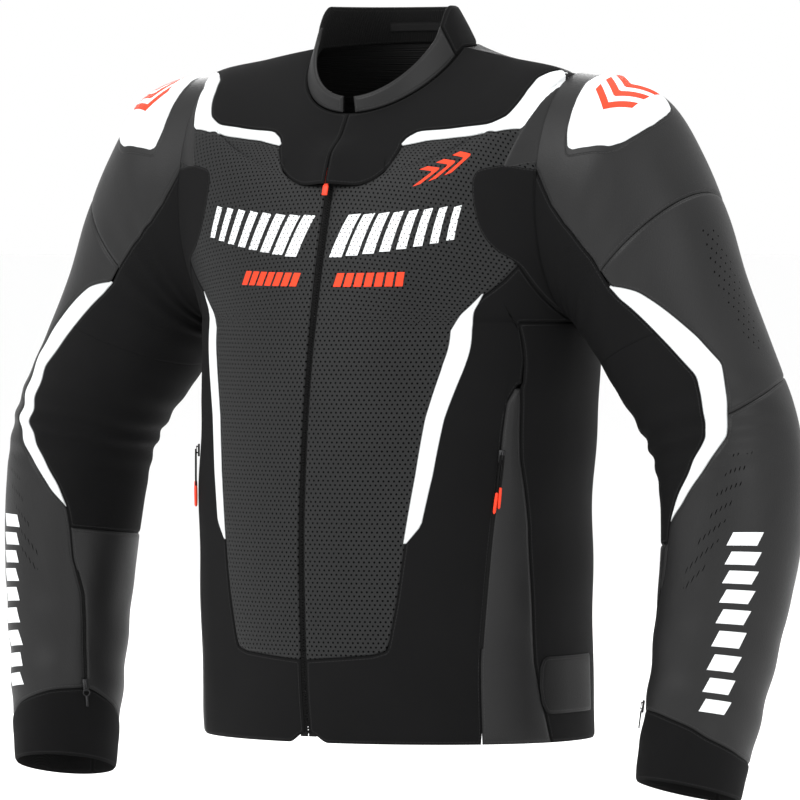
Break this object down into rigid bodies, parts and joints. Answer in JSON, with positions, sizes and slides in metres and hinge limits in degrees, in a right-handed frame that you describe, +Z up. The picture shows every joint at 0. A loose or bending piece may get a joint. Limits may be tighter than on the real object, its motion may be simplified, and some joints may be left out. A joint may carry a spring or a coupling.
{
  "type": "leather riding jacket",
  "caption": "Short zip-front leather riding jacket with stretch panels, padded shoulders and elbows, perforated chest and zipped cuffs, worn by a rider for protection.",
  "frame": {"origin": "centre of the neck opening at the height of the nape seam, where a hanger or display form holds the jacket", "axes": "+Z up, +X towards the wearer's left sleeve, the front zip faces -Y"},
  "size_m": [0.858, 0.3101, 0.7279],
  "materials": {
    "leather": "smooth grained",
    "perforated_leather": "perforated",
    "textile": "matt woven",
    "white_leather": "satin",
    "red_rubber": "satin",
    "dark_metal": "semi-gloss",
    "padding": "matt foam",
    "lining": "matt mesh"
  },
  "bodies": {
    "jacket_body": {"chest_panel_left": "perforated_leather", "chest_panel_right": "perforated_leather", "yoke_stripe_left": "white_leather", "yoke_stripe_right": "white_leather", "neck_yoke_left": "textile", "neck_yoke_right": "textile", "side_stripe_left": "white_leather", "side_stripe_right": "white_leather", "belly_panel_left": "textile", "belly_panel_right": "textile", "pocket_panel_left": "leather", "pocket_panel_right": "leather", "side_panel_left": "textile", "side_panel_right": "textile", "armpit_panel_left": "textile", "armpit_panel_right": "textile", "back_panel": "leather", "back_stretch": "textile", "back_yoke": "leather", "back_pad": "padding", "torso_lining": "lining", "collar_front_left": "leather", "collar_front_right": "leather", "collar_back": "textile", "zip_tape_left": "textile", "zip_tape_right": "textile"},
    "main_slider": {"zip_slider": "dark_metal"},
    "main_pull": {"zip_pull": "red_rubber"},
    "arm_left": {"shoulder_cap_left": "leather", "upper_panel_left": "leather", "upper_stripe_left": "white_leather", "upper_inner_left": "textile", "elbow_fold_left": "textile", "shoulder_plate_left": "white_leather", "shoulder_pad_left": "padding"},
    "forearm_left": {"forearm_panel_left": "leather", "forearm_stripe_left": "white_leather", "forearm_inner_left": "textile", "cuff_left": "textile", "elbow_pad_left": "padding"},
    "pocket_zip_left": {"pocket_slider_left": "dark_metal"},
    "pocket_cord_left": {"pocket_pull_left": "red_rubber"},
    "cuff_zip_left": {"cuff_slider_left": "dark_metal"},
    "waist_strap_left": {"waist_tab_left": "textile"},
    "arm_right": {"shoulder_cap_right": "leather", "upper_panel_right": "leather", "upper_stripe_right": "white_leather", "upper_inner_right": "textile", "elbow_fold_right": "textile", "shoulder_plate_right": "white_leather", "shoulder_pad_right": "padding"},
    "forearm_right": {"forearm_panel_right": "leather", "forearm_stripe_right": "white_leather", "forearm_inner_right": "textile", "cuff_right": "textile", "elbow_pad_right": "padding"},
    "pocket_zip_right": {"pocket_slider_right": "dark_metal"},
    "pocket_cord_right": {"pocket_pull_right": "red_rubber"},
    "cuff_zip_right": {"cuff_slider_right": "dark_metal"},
    "waist_strap_right": {"waist_tab_right": "textile"}
  },
  "joints": [
    {"name": "main_zip", "type": "hinge", "parent": "jacket_body", "child": "main_slider", "pos_m": [0, 1.088, -0.48], "axis": [1, 0, 0], "range_deg": [0, 23]},
    {"name": "main_pull_swing", "type": "hinge", "parent": "main_slider", "child": "main_pull", "pos_m": [0, -0.11524, -0.12101], "axis": [-1, 0, 0], "range_deg": [0, 110]},
    {"name": "shoulder_left", "type": "hinge", "parent": "jacket_body", "child": "arm_left", "pos_m": [0.1965, 0.008, -0.148], "axis": [-1, 0, 0], "range_deg": [-20, 60]},
    {"name": "elbow_left", "type": "hinge", "parent": "arm_left", "child": "forearm_left", "pos_m": [0.35375, 0.0028, -0.3658], "axis": [-0.9773, 0, -0.2119], "range_deg": [-8, 40], "deforming": ["elbow_fold_left"]},
    {"name": "pocket_zip_left", "type": "slide", "parent": "jacket_body", "child": "pocket_zip_left", "axis": [-0.069, -0.1014, -0.9925], "range_m": [0, 0.085]},
    {"name": "pocket_cord_swing_left", "type": "hinge", "parent": "pocket_zip_left", "child": "pocket_cord_left", "pos_m": [0.17106, -0.08441, -0.38005], "axis": [-0.5921, -0.7965, 0.1225], "range_deg": [0, 70]},
    {"name": "cuff_zip_left", "type": "slide", "parent": "forearm_left", "child": "cuff_zip_left", "axis": [0.1183, 0.0549, 0.9915], "range_m": [0, 0.0991]},
    {"name": "waist_strap_left", "type": "hinge", "parent": "jacket_body", "child": "waist_strap_left", "pos_m": [0.18446, 0.04465, -0.59527], "axis": [0, 0, 1], "range_deg": [0, 70]},
    {"name": "shoulder_right", "type": "hinge", "parent": "jacket_body", "child": "arm_right", "pos_m": [-0.1965, 0.008, -0.148], "axis": [-1, 0, 0], "range_deg": [-20, 60]},
    {"name": "elbow_right", "type": "hinge", "parent": "arm_right", "child": "forearm_right", "pos_m": [-0.35375, 0.0028, -0.3658], "axis": [-0.9773, 0, 0.2119], "range_deg": [-8, 40], "deforming": ["elbow_fold_right"]},
    {"name": "pocket_zip_right", "type": "slide", "parent": "jacket_body", "child": "pocket_zip_right", "axis": [0.069, -0.1014, -0.9925], "range_m": [0, 0.085]},
    {"name": "pocket_cord_swing_right", "type": "hinge", "parent": "pocket_zip_right", "child": "pocket_cord_right", "pos_m": [-0.17106, -0.08441, -0.38005], "axis": [-0.5921, 0.7965, -0.1225], "range_deg": [0, 70]},
    {"name": "cuff_zip_right", "type": "slide", "parent": "forearm_right", "child": "cuff_zip_right", "axis": [-0.1183, 0.0549, 0.9915], "range_m": [0, 0.0991]},
    {"name": "waist_strap_right", "type": "hinge", "parent": "jacket_body", "child": "waist_strap_right", "pos_m": [-0.18446, 0.04465, -0.59527], "axis": [0, 0, -1], "range_deg": [0, 70]}
  ]
}
